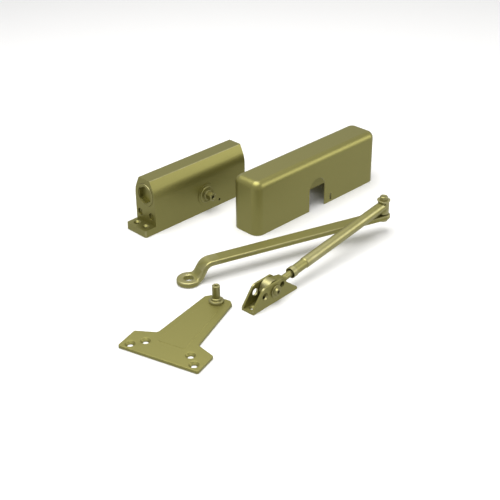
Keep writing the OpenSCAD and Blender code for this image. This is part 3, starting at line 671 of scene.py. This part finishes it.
def refinish(node, body, slot, material, *softening, name=None):
    """A softened copy takes the CAD node's place. softening holds the width and the other settings of softened."""
    dress(softened(node, name or node + "_finished", *softening), body, slot, material, node)


def near_round(spots):
    """Edge test: 1 for outer edges, and the rim's own value near a (centre, axis, reach, value) rim."""

    def share(edge):
        point = (edge.verts[0].co + edge.verts[1].co) / 2
        for centre, axis, reach, value in spots:
            away = point - Vector(centre)
            away[axis] = 0
            if away.length < reach:
                return value
        return 1.0

    return share


class CLOSER_OT_body(bpy.types.Operator):
    """Closer body: the cast housing, its end plugs, bearing nuts, pinion and speed valves"""

    bl_idname = "closer.body"
    bl_label = "Closer body"

    def execute(self, context):
        sizes = context.scene.closer_sizes
        pinion = JOINTS["pinion_spin"]["pos_m"]
        bore = JOINTS["power_adjust"]["pos_m"]
        x_axis, y_axis, z_axis = 0, 1, 2
        small_hole_x, small_hole_z = pinion[0] + 26 * MM, 9 * MM
        valve_y, valve_z = 12.5 * MM, 24 * MM
        foot_x, foot_y = 100.8 * MM, 9.525 * MM
        rims = [((pinion[0], 0, pinion[2]), y_axis, 18.5 * MM, 0.3),
                ((small_hole_x, 0, small_hole_z), y_axis, 4 * MM, 0.3), ((0, 0, bore[2]), x_axis, 18.6 * MM, 0.3)]
        rims += [((0, side * valve_y, valve_z), x_axis, 7 * MM, 0.25) for side in (-1, 1)]
        rims += [((sx * foot_x, sy * foot_y, 0), z_axis, 7 * MM, 0.3) for sx in (-1, 1) for sy in (-1, 1)]
        refinish("housing", "closer_body", "body_paint", "gold_body", sizes.casting_edge, 3, 32, near_round(rims),
                 name="closer_housing")
        fine = sizes.fine_edge
        for node, width in (("left_end_plug", fine * 1.4), ("right_end_plug", fine * 1.4),
                            ("front_bearing_nut", fine), ("back_bearing_nut", fine)):
            refinish(node, "closer_body", "plug_paint", "gold_plug", width)
        refinish("pinion_shaft", "pinion", "plated_steel", "gold_fitting", fine * 0.8, 2, 25, name="pinion_finished")
        for node in ("sweep_valve", "latch_valve"):
            refinish(node, node, "valve_brass", "slot_brass", fine)
        return {"FINISHED"}


class CLOSER_OT_spring(bpy.types.Operator):
    """Closing spring: wire wound between the piston and the spring seat"""

    bl_idname = "closer.spring"
    bl_label = "Closing spring"

    def execute(self, context):
        sizes = context.scene.closer_sizes
        low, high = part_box("closing_spring")
        wire = sizes.spring_wire / 2
        centre = middle("closing_spring")
        coil = growth("coil").grow("closing_coil", {
            "Start": low.x + wire * 1.02, "End": high.x - wire * 1.02, "Radius": (high.z - low.z) / 2 - wire,
            "Wire": wire, "Turns": sizes.spring_turns, "Closed": 0.5, "Points": 520, "Sides": 14,
            "Finish": finish("spring_wire")})
        coil.data.transform(Matrix.Translation((0, centre.y, centre.z)))
        dress(coil, "closer_body", "spring_steel", "spring_wire", "closing_spring", wear=False)
        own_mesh(coil)
        return {"FINISHED"}


class CLOSER_OT_bearings(bpy.types.Operator):
    """Pinion bearings: two caged rings of needles"""

    bl_idname = "closer.bearings"
    bl_label = "Pinion bearings"

    def execute(self, context):
        sizes = context.scene.closer_sizes
        low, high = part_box("pinion_bearings")
        centre = middle("pinion_bearings")
        outer = (high.z - low.z) / 2
        inner, length, shell = 7.55 * MM, 7.5 * MM, 0.8 * MM
        mouth = inner + 0.25 * MM
        start = high.y - length
        end = start + length
        for side, end_name in ((-1, "front"), (1, "back")):
            place = Matrix.Translation((centre.x, 0, centre.z)) @ Matrix.Rotation(side * math.pi / 2, 4, "Z")
            cage = from_bmesh("bearing_shell_" + end_name, turned(knee([
                (start, mouth), (start, outer), (end, outer), (end, mouth), (end - shell, mouth),
                (end - shell, outer - shell), (start + shell, outer - shell), (start + shell, mouth)],
                0.2 * MM, 2), 72, True))
            cage.data.transform(place)
            dress(cage, "closer_body", "bearing_steel", "ground_steel", "pinion_bearings")
            needle = (outer - shell - inner) / 2
            rollers = growth("ring").grow("bearing_needles_" + end_name, {
                "Start": start + shell * 1.1, "Length": length - 2.2 * shell, "Radius": inner + needle,
                "Needle": needle * 0.94, "Count": sizes.needle_count, "Sides": 14, "Finish": finish("ground_steel")})
            rollers.data.transform(place)
            dress(rollers, "closer_body", "bearing_steel", "ground_steel", "pinion_bearings", wear=False)
        return {"FINISHED"}


# ---- cover


def box_rings(width, depth, height, corner, edge, inset, steps=8):
    """Rings of a box with rounded upright corners and rounded top edges, from the open bottom up."""

    def ring(z, inward):
        r = max(0.4 * MM, corner - inset - inward)
        near = inset + inward
        points = []
        for cx, cy, start in ((width - near - r, near + r, -0.25), (width - near - r, depth - near - r, 0.0),
                              (near + r, depth - near - r, 0.25), (near + r, near + r, 0.5)):
            points += arc((cx, cy), r, start * TAU, (start + 0.25) * TAU, steps)
        return [(x, y, z) for x, y in points]

    bend = edge - inset
    top = height - inset
    levels = [(0.0, 0.0), (top - bend, 0.0)]
    for i in range(1, steps + 1):
        t = math.pi / 2 * i / steps
        levels.append((top - bend + bend * math.sin(t), bend - bend * math.cos(t)))
    return [ring(z, inward) for z, inward in levels]


class CLOSER_OT_cover(bpy.types.Operator):
    """Cover: a drawn box with soft edges, two pinion slots and two screw slots"""

    bl_idname = "closer.cover"
    bl_label = "Cover"

    def execute(self, context):
        sizes = context.scene.closer_sizes
        low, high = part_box("cover")
        size = high - low
        bm = bmesh.new()
        shells = []
        for inset in (0.0, sizes.cover_wall):
            rings = [[bm.verts.new(p) for p in ring] for ring in
                     box_rings(size.x, size.y, size.z, sizes.cover_corner, sizes.cover_top_edge, inset)]
            for a, b in zip(rings, rings[1:]):
                bridge(bm, a, b, inset > 0)
            bm.faces.new(rings[-1][::-1] if inset else rings[-1])
            shells.append(rings[0])
        bridge(bm, *shells, inward=True)
        bmesh.ops.recalc_face_normals(bm, faces=bm.faces)
        cover = from_bmesh("cover_shell", bm)
        middle_x, half, top = 129 * MM, 17.5 * MM, 50.5 * MM
        slot = [(middle_x - half, -5 * MM), (middle_x + half, -5 * MM)]
        slot += arc((middle_x, top - half), half, 0, math.pi, 32)
        cut(cover, self.punch(slot, size.y))
        hole_x, hole_r = 160 * MM, 2 * MM
        small = arc((hole_x, 5.5 * MM), hole_r, math.pi, TAU, 12) + arc((hole_x, 12.5 * MM), hole_r, 0, math.pi, 12)
        cut(cover, self.punch(small, size.y))
        rim = cover.modifiers.new("Rim", "BEVEL")
        rim.width = 0.35 * MM
        rim.segments = 2
        rim.limit_method = "ANGLE"
        rim.angle_limit = math.radians(50)
        rim.use_clamp_overlap = True
        settle(cover)
        cover.data.transform(Matrix.Translation(low))
        dress(cover, "cover", "cover_paint", "gold_cover", "cover")
        return {"FINISHED"}

    def punch(self, profile, depth):
        """A prism of the profile, in X and Z, that runs right through the cover along Y."""
        bm = bmesh.new()
        front = [bm.verts.new((x, -2 * MM, z)) for x, z in profile]
        back = [bm.verts.new((x, depth + 2 * MM, z)) for x, z in profile]
        bridge(bm, front, back)
        bm.faces.new(front[::-1])
        bm.faces.new(back)
        bmesh.ops.recalc_face_normals(bm, faces=bm.faces)
        return from_bmesh("punch", bm)


# ---- main arm and elbow


class CLOSER_OT_main_arm(bpy.types.Operator):
    """Main arm: a forged bar, cranked behind its eye, with a twelve-point socket"""

    bl_idname = "closer.main_arm"
    bl_label = "Main arm"

    def execute(self, context):
        sizes = context.scene.closer_sizes
        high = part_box("main_arm")[1]
        elbow = middle("elbow_washer")
        thick, rise = 7.5 * MM, high.z - 7.5 * MM
        eye_r, bar = 16.5 * MM, 10.5 * MM
        length = sizes.arm_length
        path = self.crank(rise, eye_r - 2 * MM, thick)

        def along(x):
            return self.flat(path, x)

        neck = eye_r + 6 * MM
        spread = math.asin((bar + 1.5 * MM) / eye_r)
        loop = arc((0, 0), eye_r, spread, TAU - spread, 48)
        loop += [(along(neck - 3 * MM), -bar - 0.7 * MM), (along(neck + 6 * MM), -bar)]
        loop += [(along(length) + x, y) for x, y in arc((0, 0), bar, -math.pi / 2, math.pi / 2, 24)]
        loop += [(along(neck + 6 * MM), bar), (along(neck - 3 * MM), bar + 0.7 * MM)]
        socket, points, flat_r = [], 24, 6.15 * MM
        for i in range(points):
            r = flat_r / math.cos(math.radians(30 if i % 2 == 0 else 15))
            socket.append((r * math.cos(TAU * i / points), -r * math.sin(TAU * i / points)))
        key = [(0.0, 0.5 * MM), (0.5 * MM, 0.0), (thick - 1.0 * MM, 0.0), (thick - 0.25 * MM, 0.75 * MM),
               (thick, 1.3 * MM)]
        bm = slab([(loop, rounded_wall(thick, sizes.forged_edge, 5)), (socket, key)])
        start, end = along(eye_r - 9 * MM), along(neck + 22 * MM)
        stations = 60
        for i in range(stations + 1):
            x = start + (end - start) * i / stations
            bmesh.ops.bisect_plane(bm, geom=bm.verts[:] + bm.edges[:] + bm.faces[:], dist=1e-7,
                                   plane_co=(x, 0, 0), plane_no=(1, 0, 0))
        for v in bm.verts:
            v.co = self.bent(path, v.co, thick)
        bm.normal_update()
        turn = Matrix.Rotation(sizes.arm_turn, 4, "Z")
        eye = Vector((elbow.x, elbow.y, 0)) - turn @ Vector((length, 0, 0))
        arm = from_bmesh("main_arm_forging", bm)
        arm.data.transform(Matrix.Translation((eye.x, eye.y, 0)) @ turn)
        self.drill(arm, elbow, rise, thick)
        dress(arm, "main_arm", "arm_paint", "gold_arm", "main_arm")
        return {"FINISHED"}

    def drill(self, arm, elbow, rise, thick):
        """Bores the hole for the elbow's stud."""
        radius = 4.75 * MM
        tool = from_bmesh("drill", turned([(0, 0), (0, radius), (thick * 2, radius), (thick * 2, 0)], 48))
        tool.data.transform(upright((elbow.x, elbow.y, rise - thick / 2)))
        cut(arm, tool)

    def crank(self, rise, start, thick):
        """Centre line of the crank as (distance, x, z, slope) rows, with arcs at both bends."""
        slope = math.radians(60)
        run = rise / math.tan(slope)
        mid = thick / 2
        shift = mid * math.tan(slope / 2)
        bend_r, steps = 14 * MM, 24
        a = Vector((start - shift, mid))
        b = Vector((start + run - shift, mid + rise))
        reach = bend_r * math.tan(slope / 2)
        scale = min(1.0, 0.98 * (b - a).length / (reach + reach))
        bend_r, reach = bend_r * scale, reach * scale
        points = [(a.x - reach - 0.08, mid, 0.0)]
        for i in range(steps + 1):
            t = slope * i / steps
            points.append((a.x - reach + bend_r * math.sin(t), mid + bend_r * (1 - math.cos(t)), t))
        for i in range(steps + 1):
            t = slope * (1 - i / steps)
            points.append((b.x + reach - bend_r * math.sin(t), mid + rise - bend_r * (1 - math.cos(t)), t))
        points.append((b.x + reach + 0.5, mid + rise, 0.0))
        rows, distance = [], points[0][0]
        for i, (x, z, t) in enumerate(points):
            if i:
                distance += math.hypot(x - points[i - 1][0], z - points[i - 1][1])
            rows.append((distance, x, z, t))
        return rows

    def flat(self, path, x):
        """Distance along the centre line at x."""
        for a, b in zip(path, path[1:]):
            if x <= b[1]:
                return a[0] + (b[0] - a[0]) * (x - a[1]) / (b[1] - a[1])
        return path[-1][0] + x - path[-1][1]

    def bent(self, path, point, thick):
        """Where a point of the flat bar goes on the cranked one."""
        for a, b in zip(path, path[1:]):
            if point.x <= b[0]:
                break
        t = max(0.0, min(1.0, (point.x - a[0]) / (b[0] - a[0])))
        x, z, slope = (a[k] + (b[k] - a[k]) * t for k in (1, 2, 3))
        away = point.z - thick / 2
        return Vector((x - away * math.sin(slope), point.y, z + away * math.cos(slope)))


class CLOSER_OT_elbow(bpy.types.Operator):
    """Elbow: the stud with its riveted cap, and the retaining washer"""

    bl_idname = "closer.elbow"
    bl_label = "Elbow"

    def execute(self, context):
        low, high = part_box("elbow_stud")
        centre = middle("elbow_stud")
        washer_low, washer_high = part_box("elbow_washer")
        radius = 4.7 * MM
        top = high.z
        neck = washer_high.z + 0.1 * MM
        cap = 5.8 * MM
        head = low.z + 3.2 * MM
        rows = [(low.z, 0), (low.z, 7.2 * MM), (head, 8.0 * MM), (head, radius), (neck, radius), (neck, cap),
                (top - 1.2 * MM, cap), (top - 0.3 * MM, cap - 0.9 * MM), (top, cap - 2.2 * MM),
                (top - 0.5 * MM, cap - 3.4 * MM), (top - 0.6 * MM, 0)]
        stud = from_bmesh("elbow_stud_turned", turned(knee(rows, 0.4 * MM), 64))
        place = upright((centre.x, centre.y, 0))
        stud.data.transform(place)
        dress(stud, "main_arm", "plated_steel", "gold_fitting", "elbow_stud")
        outer = (washer_high.x - washer_low.x) / 2
        inner = radius + 0.3 * MM
        ring = from_bmesh("elbow_washer_turned", turned(knee([
            (washer_low.z, inner), (washer_low.z, outer), (washer_high.z, outer), (washer_high.z, inner),
            (washer_low.z, inner)], 0.5 * MM), 64))
        ring.data.transform(place)
        dress(ring, "main_arm", "arm_paint", "gold_arm", "elbow_washer")
        return {"FINISHED"}


# ---- forearm


class CLOSER_OT_forearm(bpy.types.Operator):
    """Forearm: the tube with its knuckle barrel, and the sliding rod with its eye"""

    bl_idname = "closer.forearm"
    bl_label = "Forearm"

    def execute(self, context):
        fine = context.scene.closer_sizes.fine_edge
        refinish("forearm_tube", "forearm", "arm_paint", "gold_arm", fine * 1.6, 3, 40)
        refinish("forearm_rod", "forearm_rod", "arm_paint", "gold_arm", fine * 3, 3, 40)
        for node in ("rod_clamp_screw", "barrel_grub_screw"):
            refinish(node, "forearm", "plated_steel", "gold_fitting", fine * 0.5)
        return {"FINISHED"}


# ---- shoe


class CLOSER_OT_shoe(bpy.types.Operator):
    """Shoe: the folded bracket with its two ears, and the pivot screw and nut"""

    bl_idname = "closer.shoe"
    bl_label = "Shoe"

    def execute(self, context):
        sizes = context.scene.closer_sizes
        refinish("shoe_bracket", "shoe", "plate_paint", "gold_plate", sizes.sheet_edge * 1.2, 3, 35,
                 name="shoe_pressing")
        for node, share in (("shoe_pivot_screw", 1.5), ("shoe_pivot_nut", 1.6)):
            refinish(node, "shoe", "plated_steel", "gold_fitting", sizes.fine_edge * share, 3)
        return {"FINISHED"}


# ---- soffit bracket


class CLOSER_OT_bracket(bpy.types.Operator):
    """Soffit bracket: the T-shaped plate with its pressed field, and the shouldered stud"""

    bl_idname = "closer.bracket"
    bl_label = "Soffit bracket"

    def execute(self, context):
        sizes = context.scene.closer_sizes
        stud = middle("bracket_stud")
        thick = 4.2 * MM
        cross, depth, reach = 57.5 * MM, 36 * MM, 152 * MM
        root, tip, cut_off = 29.5 * MM, 20.5 * MM, 6 * MM
        r, soft = 2.5 * MM, 6 * MM
        edge = outline([(-cross, 0, r), (cross, 0, r), (cross, depth, r), (root, depth + 11 * MM, soft),
                        (tip, reach - cut_off, r), (tip - cut_off, reach, r), (cut_off - tip, reach, r),
                        (-tip, reach - cut_off, r), (-root, depth + 11 * MM, soft), (-cross, depth, r)])
        contours = [(edge, rounded_wall(thick, sizes.sheet_edge, 4))]
        sink = [(0.0, 0.3 * MM), (0.3 * MM, 0.0), (thick - 3.0 * MM, 0.0), (thick - 0.2 * MM, 2.8 * MM),
                (thick, 3.15 * MM)]
        screw_r, stud_r = 3.75 * MM, 4.32 * MM
        for side in (-1, 1):
            for x, y in ((cross - 11.5 * MM, 10 * MM), (cross - 25 * MM, 24 * MM)):
                contours.append((circle((side * x, y), screw_r, 48), sink))
        hole_y = reach - 11 * MM
        contours.append((circle((0, hole_y), stud_r, 48), [(0.0, 0.0), (thick, 0.0)]))
        field_low, field_high, field_r, field_rise = (20.5 * MM, 31 * MM), (13 * MM, 124 * MM), 4 * MM, 0.4 * MM
        field = outline([(side * x, y, field_r) for side, (x, y) in
                         ((-1, field_low), (1, field_low), (1, field_high), (-1, field_high))])
        plate = from_bmesh("bracket_pressing", slab(contours, (field, field_rise, field_rise)))
        turn = Matrix.Rotation(sizes.bracket_turn, 4, "Z")
        corner = Vector((stud.x, stud.y, 0)) - turn @ Vector((0, hole_y, 0))
        plate.data.transform(Matrix.Translation((corner.x, corner.y, 0)) @ turn)
        dress(plate, "bracket", "plate_paint", "gold_plate", "bracket_plate", wear=False)
        top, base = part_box("bracket_stud")[1].z, thick
        foot_z, foot_r, post_r, bore_r = 0.2 * MM, 4.3 * MM, 5.3 * MM, 2.1 * MM
        rows = [(foot_z, 0), (foot_z, foot_r), (base, foot_r), (base, 10.25 * MM), (base + 2.6 * MM, 10.1 * MM),
                (base + 4 * MM, 8.9 * MM), (base + 4.1 * MM, 6.9 * MM), (base + 6.3 * MM, 6.5 * MM),
                (base + 6.9 * MM, post_r), (top - 0.8 * MM, post_r), (top, 4.5 * MM), (top, 2.7 * MM),
                (top - 0.7 * MM, bore_r), (top - 13 * MM, bore_r), (top - 14 * MM, 0)]
        post = from_bmesh("bracket_stud_turned", turned(knee(rows, 0.35 * MM), 72))
        place = upright((stud.x, stud.y, 0))
        post.data.transform(place)
        dress(post, "bracket", "plated_steel", "gold_fitting", "bracket_stud")
        thread_on("bracket_stud_hole_thread", top - 12.5 * MM, top - 0.8 * MM, 2.3 * MM, 0.8 * MM, place, "bracket",
                  "plated_steel", "gold_fitting")
        return {"FINISHED"}


# ---- inner parts


class CLOSER_OT_inner(bpy.types.Operator):
    """Inner parts: finishes for the piston, spring seat, adjuster, bushes and seals"""

    bl_idname = "closer.inner"
    bl_label = "Inner parts"

    def execute(self, context):
        looks = {
            "piston": "turned_steel", "piston_check_ball": "ground_steel", "piston_check_plug": "slot_brass",
            "spring_seat": "turned_steel", "power_adjuster": "turned_steel", "adjuster_circlip": "spring_wire",
            "end_plug_seals": "seal_rubber", "pinion_seals": "seal_rubber", "sweep_valve_seal": "seal_rubber",
            "latch_valve_seal": "seal_rubber", "elbow_bush": "porous_bronze", "rod_guide": "turned_steel",
            "shoe_spacers": "porous_bronze"}
        for node, look in looks.items():
            for place in NODES[node].material_slots:
                place.material = finish(look)
        return {"FINISHED"}


# ---- stage


class CLOSER_OT_stage(bpy.types.Operator):
    """Stage: a plain pale floor, soft lights and the camera"""

    bl_idname = "closer.stage"
    bl_label = "Stage"

    def execute(self, context):
        scene = context.scene
        stage = scene.closer_stage
        floor_z = CAD_BOX[0].z - 0.2 * MM
        half = 9.0
        bm = bmesh.new()
        corners = ((-half, -half), (half, -half), (half, half), (-half, half))
        bm.faces.new([bm.verts.new((x, y, floor_z)) for x, y in corners])
        floor = from_bmesh("floor", bm)
        material, tree, shader, place = new_material("pale_floor")
        grain = tree.noise(place, 900.0, 2.0, 0.5)
        tone = scene.closer_finish.floor
        tree.feed(shader, "Base Color", tree.blend(tree.span((grain, "Fac"), 0.3, 0.7, 0.0, 1.0),
                                                   colour(tone, 0.995), colour(tone, 1.005)))
        shader.inputs["Roughness"].default_value = 0.9
        shader.inputs["Specular IOR Level"].default_value = 0.1
        floor.data.materials.append(material)
        world = bpy.data.worlds.new("pale_surroundings")
        world.use_nodes = True
        sky = next(n for n in world.node_tree.nodes if n.type == "BACKGROUND")
        sky.inputs["Color"].default_value = (1.0, 1.0, 1.0, 1.0)
        air = Tree(world.node_tree)
        way = air.add("ShaderNodeSeparateXYZ", feeds={"Vector": (air.add("ShaderNodeTexCoord"), "Generated")})
        level = air.span((way, "Z"), -0.25, 0.3, stage.low_strength, stage.sky_strength)
        air.feed(sky, "Strength", level)
        # pieces mirror the dimmer lower surroundings, not the bright floor
        floor.visible_glossy = False
        scene.world = world
        centre = (CAD_BOX[0] + CAD_BOX[1]) / 2
        self.light("top_light", centre + Vector((-0.15, 0.1, 1.3)), centre, 1.5, stage.top_power)
        self.light("side_light", centre + Vector((1.5, -1.3, 0.75)), centre, 1.2, stage.side_power)
        scene.view_settings.view_transform = "Standard"
        scene.view_settings.look = "None"
        lens = bpy.data.cameras.new("camera")
        lens.lens = stage.lens
        lens.sensor_width = 36.0
        lens.clip_end = 50.0
        camera = bpy.data.objects.new("camera", lens)
        scene.collection.objects.link(camera)
        aim = Vector(stage.camera_aim).normalized()
        facing = aim.to_track_quat("-Z", "Y").to_matrix().to_4x4()
        camera.matrix_world = (Matrix.Translation(Vector(stage.camera_place)) @ facing
                               @ Matrix.Rotation(stage.camera_roll, 4, "Z"))
        scene.camera = camera
        return {"FINISHED"}

    def light(self, name, place, target, size, power):
        lamp = bpy.data.lights.new(name, "AREA")
        lamp.shape = "DISK"
        lamp.size = size
        lamp.energy = power
        lamp.color = (1.0, 0.99, 0.97)
        source = bpy.data.objects.new(name, lamp)
        bpy.context.scene.collection.objects.link(source)
        source.matrix_world = (Matrix.Translation(place)
                               @ (target - place).to_track_quat("-Z", "Y").to_matrix().to_4x4())


# ---- add-on


STEPS = (CLOSER_OT_body, CLOSER_OT_spring, CLOSER_OT_bearings, CLOSER_OT_cover, CLOSER_OT_main_arm, CLOSER_OT_elbow,
         CLOSER_OT_forearm, CLOSER_OT_shoe, CLOSER_OT_bracket, CLOSER_OT_inner, CLOSER_OT_stage)


class CLOSER_PT_panel(bpy.types.Panel):
    """Lists the pieces of the door closer kit"""

    bl_idname = "CLOSER_PT_panel"
    bl_label = "Door closer kit"
    bl_space_type = "VIEW_3D"
    bl_region_type = "UI"
    bl_category = "Closer"

    def draw(self, context):
        for step in STEPS:
            self.layout.operator(step.bl_idname)
        for group in (context.scene.closer_sizes, context.scene.closer_finish, context.scene.closer_stage):
            box = self.layout.box()
            for name in group.bl_rna.properties.keys():
                if name not in ("rna_type", "name"):
                    box.prop(group, name)


CLASSES = (CloserSizes, CloserFinish, CloserStage, *STEPS, CLOSER_PT_panel)


def register():
    for item in CLASSES:
        bpy.utils.register_class(item)
    bpy.types.Scene.closer_sizes = PointerProperty(type=CloserSizes)
    bpy.types.Scene.closer_finish = PointerProperty(type=CloserFinish)
    bpy.types.Scene.closer_stage = PointerProperty(type=CloserStage)


def unregister():
    for name in ("closer_sizes", "closer_finish", "closer_stage"):
        delattr(bpy.types.Scene, name)
    for item in reversed(CLASSES):
        bpy.utils.unregister_class(item)


def main():
    """Builds every piece."""
    register()
    for step in STEPS:
        group, name = step.bl_idname.split(".")
        if getattr(getattr(bpy.ops, group), name)() != {"FINISHED"}:
            raise RuntimeError(step.bl_label + " didn't finish")


if __name__ == "__main__":
    main()
